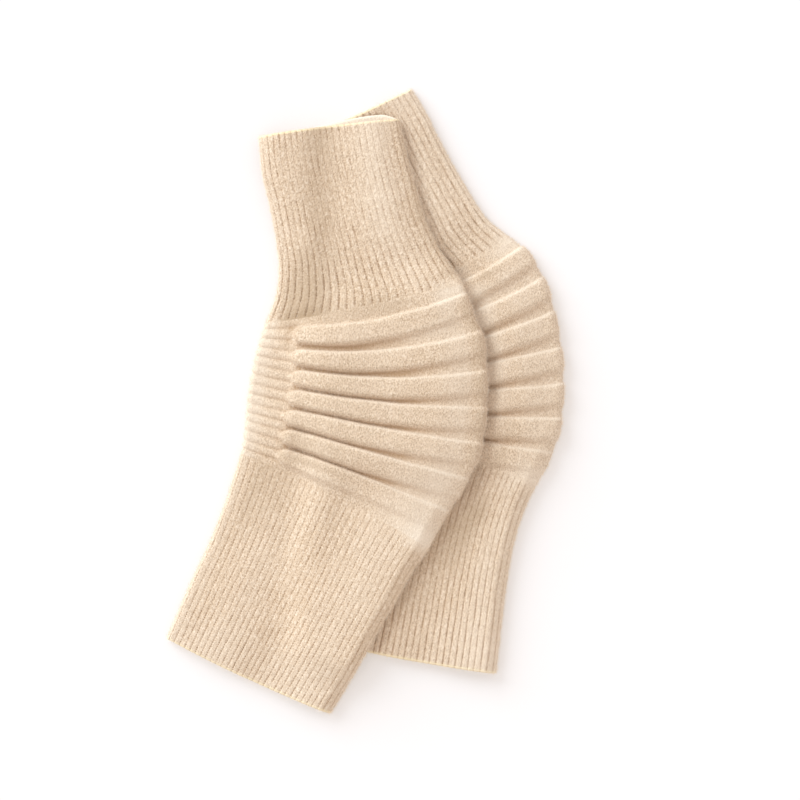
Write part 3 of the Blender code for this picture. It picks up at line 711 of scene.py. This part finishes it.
def knee(tube, columns, material):
    """The knee: seven raised ridges that fan out from the strip of fine ribs at the back."""
    lines = np.array([tube.down_of[name] for name in KNEE_LINES])[:, None]
    turns = np.linspace(-1, 0, 7)[:-1]
    share = np.concatenate([0 * turns, np.linspace(0, 1, columns), 1 + 0 * turns])
    turn = np.concatenate([turns, np.zeros(columns), -turns[::-1]])

    def around_of(downs):
        return share * tube.half_girth(downs) + turn * tube.quarter(downs)

    arounds = around_of(lines)
    spots = tube.place(lines, arounds, soft=0.0)[..., :2]
    way = np.gradient(spots, axis=1)
    way /= np.maximum(np.linalg.norm(way, axis=-1, keepdims=True), TINY)
    way = (way[1:] + way[:-1]) / 2
    apart = np.diff(spots, axis=0)
    gaps = np.abs(apart[..., 0] * way[..., 1] - apart[..., 1] * way[..., 0])
    # Round the folds a gap stays as it is beside them: seen from above it would shrink
    flat = np.flatnonzero((share > 0) & (share < 1))
    left, right = flat[0] + 3, flat[-1] - 3
    gaps[:, :left] = gaps[:, left : left + 1]
    gaps[:, right + 1 :] = gaps[:, right : right + 1]

    height = tube.course(lines)[3]
    half, quarter = tube.half_girth(lines), tube.quarter(lines)
    tips = TIPS[:, None] + (quarter - height / 2)[1:-1]
    past = arounds[1:-1] - tips  # how far a column lies past each ridge's tip
    room = np.minimum(gaps[:-1], gaps[1:])
    room[0], room[-1] = gaps[1], gaps[-2]
    cap, rise = tip_shape(past, TIP_LENGTHS), tip_shape(past, TIP_RISES)
    which = np.arange(RIDGES)[:, None]
    bulge = 1 + 0.05 * noise(past / (18 * MM), 9.7 * which, 1.0, RIDGE_BULGE)
    width = blend(RIDGE_HALF_LEFT, RIDGE_HALF_RIGHT, share) * bulge
    width = np.minimum(width, 0.455 * room) * cap
    tall = blend(RIDGE_HEIGHT_LEFT, RIDGE_HEIGHT_RIGHT[tube.name], share**1.5)
    turned = soft_step(arounds[1:-1], (half - quarter)[1:-1], half[1:-1])
    tall = blend(tall, RIDGE_HEIGHT_FOLD[tube.name], turned)
    tall = tall * rise * fade(turn, 0, 1)
    tall[-1] *= 1 - 0.7 * soft_step(share, 0.80, 0.97)
    room_below = np.maximum(gaps[1:] - width - np.roll(width, -1, 0), 0)
    slope = np.minimum(RIDGE_LOWER_SLOPE * cap, room_below)
    slope[-1] = RIDGE_LOWER_SLOPE * cap[-1]
    below = width + slope * soft_step(share, 0.1, 0.45)
    least = np.minimum(room / 4, 3.2 * MM)
    lay_upper, lay_lower = np.maximum(width, least), np.maximum(below, least)

    zero = np.zeros_like(width[:1])
    lay_upper = np.concatenate([lay_upper, zero])
    lay_lower = np.concatenate([zero, lay_lower])
    width, below = np.concatenate([width, zero]), np.concatenate([zero, below])
    tall = np.concatenate([zero, tall, zero])
    past = np.concatenate([past[:1], past, past[-1:]])
    counts = [0.45, *range(1, RIDGES + 1), RIDGES + 0.55]  # each line's place, in ridges

    downs, out, groove, light = [], [], [], []
    for k in range(RIDGES + 1):
        gap = gaps[k]
        # Some floor is always left, so that no two rows fall together
        fit = np.minimum(0.97 * gap / np.maximum(lay_lower[k] + lay_upper[k], SMALL), 1)
        first, last = lay_lower[k] * fit, gap - lay_upper[k] * fit
        floor = np.linspace(0, 1, FLOOR_STEPS)[:, None]
        away = [blend(first, last, floor)]
        if k > 0:
            # The ridge's middle row closed the gap before it
            away.insert(0, LOWER_ROWS[1:-1, None] * first)
        if k < RIDGES:
            away.append(gap - UPPER_ROWS[-2::-1, None] * (gap - last))
        away = np.concatenate(away)
        t = np.clip(away / gap, 0, 1)
        lower = tall[k] * fade(away / np.maximum(below[k], SMALL), 0.52, 1.0)
        to_crest = (gap - away) / np.maximum(width[k], SMALL)
        upper = tall[k + 1] * (1 - np.clip(to_crest, 0, 1) ** 5) ** 0.7
        rises = np.maximum(lower, upper)
        past_here = blend(past[k], past[k + 1], t)
        count = blend(counts[k], counts[k + 1], t)
        on_top = soft_step(turn, -1, -0.1)  # less and less where the left fold turns under

        # The floor is cut in where two ridges meet, under each ridge and beside the first tip
        open_floor = gap - below[k] - width[k]
        across_floor = np.clip((away - below[k]) / np.maximum(open_floor, SMALL), 0, 1)
        within = soft_step(past_here, 0, 6 * MM) * (0 < k < RIDGES)
        slit = within * fade(open_floor, 1 * MM, 6 * MM)
        slit = slit * fade(share, 0.6, 0.8)
        sink = within * (1 - across_floor) * fade(share, 0.85, 1.0)
        sink_shade = blend(*SINK_SHADES, soft_step(share, 0.45, 0.7))
        if k == 1:
            sink_shade = sink_shade * (1 - 0.7 * soft_step(share, 0.58, 0.7))
        valley = (k < 2) * bell(past_here, -3 * MM, 3.5 * MM) * on_top
        valley = valley * soft_step(t if k == 0 else 1 - t, 0.1, 0.5)
        fine = 1 - bead((2 * count - 0.5) % 1, 0.42)
        fine = fine * fade(past_here, -1 * MM, 4.5 * MM) * on_top
        dip = SLIT_DEPTH * slit + SINK_DEPTH * sink + VALLEY_DEPTH * valley
        dip = dip * (1 - np.clip(rises / (1.5 * MM), 0, 1))
        out.append(rises - BACK_RIB_DEPTH * fine - dip)

        # Painted shade in the fine ribs' grooves, the cuts and the valley, where the floor lies
        # low
        foot = np.clip(1 - rises / (1.2 * MM), 0, 1) * soft_step(past_here, -1 * MM, 4 * MM)
        deep = FINE_GROOVE_SHADE * fine + foot * (SLIT_SHADE * slit + sink_shade * sink)
        deep = deep + VALLEY_SHADE * valley
        groove.append(np.clip(deep, 0, 1))
        # A painted highlight along each ridge's upper edge, with the knee's painted light and
        # shade
        crest = bell(to_crest, 0.86, 0.16) * (k < RIDGES) * soft_step(past_here, -1 * MM, 6 * MM)
        shade = knee_light_and_shade(tube.name, k, t, count, share, past_here)
        light.append(CREST_HIGHLIGHT * crest + shade)
        downs.append(blend(lines[k], lines[k + 1], t))
    downs, out, groove, light = (np.concatenate(rows) for rows in (downs, out, groove, light))
    arounds = around_of(downs)
    spots = tube.place(downs, arounds)
    from_seam = np.minimum(downs - lines[0], lines[-1] - downs)
    out = out + 0.6 * felt(spots[..., 0], spots[..., 1]) * soft_step(from_seam, 0, FELT_START)
    tone = np.stack([groove, 0 * groove, light], axis=-1)
    top = Skin(tube, downs, arounds, out, TOP_MAP, tone=tone)

    downs = np.linspace(lines[0, 0], lines[-1, 0], UNDER_KNEE_LINES)[:, None]
    marks = np.linspace(0, 1, UNDER_KNEE_LINES)[1:-1]
    half, quarter = tube.half_girth(downs), tube.quarter(downs)
    arounds = blend(half + quarter, 2 * half - quarter, marks)
    under = Skin(tube, downs, arounds, 0 * arounds, UNDER_MAP, soft=0.0)
    marks = np.linspace(0, 2, INSIDE_COLUMNS, endpoint=False)
    arounds = marks * half - quarter
    inside = Skin(tube, downs, arounds, -WALL + 0 * arounds, INSIDE_MAP)
    return knit_piece(f"{tube.name}_knee_knit", tube, top, under, inside, material), top


def footprint(tube, reach):
    """A function for how much of what is near a place lies under this tube."""
    cell = FOOTPRINT_CELL
    steps = int(round(reach / cell))
    spots = tube.place(*tube.grid(FOOTPRINT_SAMPLES))[..., :2]
    margin = steps + 4
    low = spots.min(axis=(0, 1)) - margin * cell
    cells = np.rint((spots - low) / cell).astype(int)
    covered = np.zeros(cells.max(axis=(0, 1)) + 2 * margin)
    covered[cells[..., 0], cells[..., 1]] = 1
    near = disc(steps)
    share = sum(np.roll(covered, (i, j), axis=(0, 1)) for i, j in near) / len(near)
    return reader(share, low, cell)


FUZZ_LENGTH = (0.9 * MM, 3.0 * MM)
FUZZ_WIDTH = 0.11 * MM
FUZZ_ROOT = 0.25 * MM  # the roots' depth in the knit
FUZZ_ON_FOLDS = 34.0  # how much thicker the hairs stand on the folds
FUZZ_STEEP = (0.45, 0.85)  # how steep the skin is where a fold starts, and is full
FUZZ_DOWN = -0.75  # no hair stands on skin that faces further down
FUZZ_RISE, FUZZ_LEAN = (0.15, 1.0), 0.75  # how far a hair points out of the skin, and along it
FUZZ_LOWEST = 0.1 * MM


def fuzz(name, skin, count, seed, material, hidden=None):
    """Short fine hairs that stand on a skin, as one mesh of closed spikes with three sides.

    None stands where hidden is half or more.
    """
    random = np.random.default_rng(seed)
    points = skin.points
    corner = points[:-1, :-1]
    down_way, around_way = points[1:, :-1] - corner, points[:-1, 1:] - corner
    normal = np.cross(down_way, around_way)
    area = np.linalg.norm(normal, axis=-1)
    normal /= np.maximum(area, TINY)[..., None]
    steep = 1 - np.clip(normal[..., 2], 0, 1)
    weight = area * (1 + FUZZ_ON_FOLDS * soft_step(steep, *FUZZ_STEEP))
    weight = weight * (normal[..., 2] > FUZZ_DOWN)
    if hidden is not None:
        weight = weight * (hidden(corner[..., 0], corner[..., 1]) < 0.5)
    chance = weight.ravel() / weight.sum()
    picks = random.choice(len(chance), count, p=chance)
    spread = random.random((count, 2, 1))
    root = (
        corner.reshape(-1, 3)[picks]
        + spread[:, 0] * down_way.reshape(-1, 3)[picks]
        + spread[:, 1] * around_way.reshape(-1, 3)[picks]
    )
    normal = normal.reshape(-1, 3)[picks]
    lean = random.normal(0, 1, (count, 3))
    lean -= (lean * normal).sum(axis=1, keepdims=True) * normal
    way = normal * random.uniform(*FUZZ_RISE, (count, 1)) + FUZZ_LEAN * lean
    way /= np.linalg.norm(way, axis=1, keepdims=True)
    long = random.uniform(*FUZZ_LENGTH, (count, 1))
    tip = root + way * long
    tip[:, 2] = np.maximum(tip[:, 2], FUZZ_LOWEST)
    side = np.cross(way, np.where(np.abs(way[:, 2:]) < 0.9, [[0, 0, 1.0]], [[1.0, 0, 0]]))
    side /= np.linalg.norm(side, axis=1, keepdims=True)
    other = np.cross(way, side)
    root = root - normal * FUZZ_ROOT
    spots = [tip]
    for turn in (0, 1, 2):
        angle = turn * 2 * math.pi / 3
        around = math.cos(angle) * side + math.sin(angle) * other
        spots.append(root + around * FUZZ_WIDTH / 2)
    spots = np.stack(spots, axis=1).reshape(-1, 3)
    faces = np.array([[0, 1, 2], [0, 2, 3], [0, 3, 1], [3, 2, 1]])
    faces = (faces + 4 * np.arange(count)[:, None, None]).reshape(-1, 3)
    mesh = bpy.data.meshes.new(name)
    mesh.from_pydata(spots.tolist(), [], faces.tolist())
    mesh.materials.append(material)
    return placed(name, mesh)


class Nodes:
    """Adds and links the nodes of a material."""

    def __init__(self, name):
        self.material = bpy.data.materials.new(name)
        self.material.use_nodes = True
        self.tree = self.material.node_tree
        self.shader = self.tree.nodes["Principled BSDF"]

    def add(self, kind, settings=(), **inputs):
        """The outputs of a new node. An input is named, or numbered as _0, _1 and so on."""
        node = self.tree.nodes.new(kind)
        for key, value in dict(settings).items():
            setattr(node, key, value)
        for key, value in inputs.items():
            name = int(key[1:]) if key[1:].isdigit() else key.replace("_", " ")
            self.feed(node.inputs[name], value)
        return node.outputs

    def feed(self, socket, value):
        """Link a node's output to the socket, or set the socket to a plain value."""
        if isinstance(value, bpy.types.NodeSocket):
            self.tree.links.new(value, socket)
        else:
            socket.default_value = value

    def maths(self, operation, a, b, clamp=False):
        settings = {"operation": operation, "use_clamp": clamp}
        return self.add("ShaderNodeMath", settings, _0=a, _1=b)[0]

    def scaled(self, value, factor, offset):
        """value * factor + offset."""
        result = self.maths("MULTIPLY_ADD", value, factor)
        result.node.inputs[2].default_value = offset
        return result

    def tinted(self, colour, share, strength, tint):
        """The colour mixed with the tint by share * strength, kept from 0 to 1."""
        settings = {"data_type": "RGBA"}
        share = self.maths("MULTIPLY", share, strength, True)
        return self.add("ShaderNodeMix", settings, _0=share, _6=colour, _7=tint)[2]

    def speckle(self, place, scale, detail, rough):
        return self.add(
            "ShaderNodeTexNoise", (), Vector=place, Scale=scale, Detail=detail, Roughness=rough
        )[0]

    def set(self, **inputs):
        for key, value in inputs.items():
            self.feed(self.shader.inputs[key.replace("_", " ")], value)


KNIT = (0.768, 0.602, 0.45, 1.0)
KNIT_DARK = (0.49, 0.348, 0.232, 1.0)
KNIT_LIGHT = (0.898, 0.75, 0.608, 1.0)
# Tints for the painted groove shade, the bound rim (its own yellowish colour, lightened as painted
# light), the painted light and paler places, and the painted shade
KNIT_GROOVE_SHADE = (0.46, 0.29, 0.162, 1.0)
KNIT_RIM = (0.96, 0.81, 0.55, 1.0)
KNIT_LIT_AND_PALE = (0.93, 0.815, 0.69, 1.0)
KNIT_SHADE = (0.445, 0.32, 0.212, 1.0)
# (scale, detail, roughness) of the speckles; the light flecks' scale is the knit's own
GRAIN_SPECKLE = (1450.0, 2.0, 0.6)
FLECK_SPECKLE = (2.0, 0.55)
PATCH_SPECKLE = (38.0, 3.0, 0.5)
# A knit's share of dark grain, its share of light flecks, and their scale
KNITS = {
    "ribbed_knit": (1.0, 0.70, 620.0),
    "soft_ribbed_knit": (1.4, 0.88, 700.0),
    "brushed_knit": (1.7, 0.80, 950.0),
}


def knit_material(name, grain_share, fleck_share, fleck_scale):
    """Knit: a heathered beige, with painted shade in its grooves and a felted surface."""
    nodes = Nodes(name)
    place = nodes.add("ShaderNodeTexCoord")["Object"]
    tone = nodes.add("ShaderNodeAttribute", {"attribute_name": "tone"})["Vector"]
    groove, bound, lighter = nodes.add("ShaderNodeSeparateXYZ", (), Vector=tone)
    turned = {"Rotation": (0, 0, -0.7), "Scale": (1.25, 0.7, 1)}
    grain = nodes.add("ShaderNodeMapping", (), Vector=place, **turned)[0]
    fine = nodes.speckle(grain, *GRAIN_SPECKLE)
    flecks = nodes.speckle(grain, fleck_scale, *FLECK_SPECKLE)
    patches = nodes.speckle(place, *PATCH_SPECKLE)
    colour = nodes.tinted(KNIT, nodes.scaled(fine, 8.0, -3.7), 0.6 * grain_share, KNIT_DARK)
    colour = nodes.tinted(colour, nodes.scaled(flecks, 6.0, -2.9), fleck_share, KNIT_LIGHT)
    colour = nodes.tinted(colour, nodes.scaled(patches, 2.0, -0.8), 0.28, KNIT_LIGHT)
    # Painted shade in the grooves, the bound edge lightened as painted light, and the painted
    # light and shade
    colour = nodes.tinted(colour, groove, 0.66, KNIT_GROOVE_SHADE)
    colour = nodes.tinted(colour, bound, 0.85, KNIT_RIM)
    colour = nodes.tinted(colour, lighter, 0.7, KNIT_LIT_AND_PALE)
    colour = nodes.tinted(colour, lighter, -1.0, KNIT_SHADE)
    relief = nodes.maths("ADD", fine, flecks)
    bump = nodes.add("ShaderNodeBump", (), Strength=0.8, Distance=0.0006, Height=relief)
    nodes.set(
        Base_Color=colour,
        Roughness=0.94,
        Sheen_Weight=0.35,
        Sheen_Roughness=0.45,
        Sheen_Tint=(1.0, 0.93, 0.84, 1.0),
        Specular_IOR_Level=0.2,
        Normal=bump[0],
    )
    return nodes.material


def fuzz_material():
    nodes = Nodes("knit_fuzz")
    nodes.set(
        Base_Color=(0.95, 0.84, 0.71, 1.0),
        Roughness=0.9,
        Sheen_Weight=0.2,
        Specular_IOR_Level=0.1,
    )
    return nodes.material


# Setting
IMAGE_CENTRE = (21.88 * MM, -0.30 * MM)  # what the picture's middle shows
IMAGE_WIDTH = 520 * MM
LENS, SENSOR, CLIP_END = 150.0, 36.0, 20.0
FLOOR_SIZE = 4.0
FLOOR_HEIGHT = -0.15 * MM
SUN_WAY = (-0.85, 0.75, 0.42)  # towards the light
SUN_STRENGTH = 2.75
SUN_ANGLE = 45.0
SUN_COLOUR = (0.84, 0.95, 1.0)
SKY_STRENGTH = 0.90
SKY_COLOUR = (1.0, 0.945, 0.895)


def setting():
    """The pale floor, the soft light from the upper left and the camera straight above."""
    mesh = bpy.data.meshes.new("floor")
    a, low = FLOOR_SIZE / 2, FLOOR_HEIGHT
    mesh.from_pydata([(-a, -a, low), (a, -a, low), (a, a, low), (-a, a, low)], [], [(0, 1, 2, 3)])
    nodes = Nodes("floor")
    nodes.set(
        Base_Color=(0.72, 0.70, 0.74, 1.0),
        Roughness=0.9,
        Specular_IOR_Level=0.0,
        Emission_Color=(1.0, 0.99, 0.87, 1.0),
        Emission_Strength=0.228,
    )
    mesh.materials.append(nodes.material)
    floor = placed("floor", mesh)

    light = bpy.data.lights.new("key", "SUN")
    light.energy = SUN_STRENGTH
    light.angle = math.radians(SUN_ANGLE)
    light.color = SUN_COLOUR
    key = placed("key", light)
    key.rotation_euler = Vector(SUN_WAY).to_track_quat("Z", "Y").to_euler()

    world = bpy.data.worlds.new("studio")
    world.use_nodes = True
    sky = world.node_tree.nodes["Background"]
    sky.inputs["Color"].default_value = (*SKY_COLOUR, 1.0)
    sky.inputs["Strength"].default_value = SKY_STRENGTH
    bpy.context.scene.world = world

    lens = bpy.data.cameras.new("camera")
    lens.lens, lens.sensor_width = LENS, SENSOR
    lens.clip_end = CLIP_END
    camera = placed("camera", lens)
    camera.location = (*IMAGE_CENTRE, IMAGE_WIDTH * LENS / SENSOR)
    bpy.context.scene.camera = camera
    bpy.context.scene.view_settings.view_transform = "Standard"


CUT_SAMPLES = (60, 90)


def flat_cut(tube, part):
    """The widest cut all round a part, its length and its flat area."""
    points = tube.place(*tube.grid(CUT_SAMPLES, tube.ends(part)), soft=0.0)
    along = np.linalg.norm(np.diff(points, axis=0), axis=-1)
    across = np.linalg.norm(np.diff(points, axis=1), axis=-1)
    skew = np.cross(np.diff(points, axis=0)[:, :-1], np.diff(points, axis=1)[:-1])
    area = 2 * np.linalg.norm(skew, axis=-1).sum()
    return (2 * across.sum(axis=1).max(), along.sum(axis=0).max()), area


def main():
    ribbed, soft_ribbed, brushed = (knit_material(name, *look) for name, look in KNITS.items())
    hairs = fuzz_material()
    outline = Tube("upper", UPPER)
    pressed, covered = footprint(outline, PRESS_REACH), footprint(outline, 0)
    lower = Tube("lower", LOWER, free=lambda x, y: fade(pressed(x, y), 0.0, 0.5))
    upper = Tube("upper", UPPER, drape_over(lower))
    seed = 1
    for tube in (lower, upper):
        row_step, columns, hairs_each = FINENESS[tube.name]
        hidden = covered if tube is lower else None
        made = {
            "narrow_cuff": cuff(tube, "narrow_cuff", row_step, soft_ribbed),
            "knee": knee(tube, columns, brushed),
            "wide_cuff": cuff(tube, "wide_cuff", row_step, ribbed),
        }
        for part, (piece, skin) in made.items():
            seed += 1
            hair = fuzz(f"{piece.name}_fuzz", skin, hairs_each, seed, hairs, hidden)
            for thing in (piece, hair):
                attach(thing, "root")
            nodes = ("knee_ridges", "knee_back") if part == "knee" else (part,)
            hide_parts(*(f"{tube.name}_{node}" for node in nodes))
            flat, area = flat_cut(tube, part)
    setting()


main()
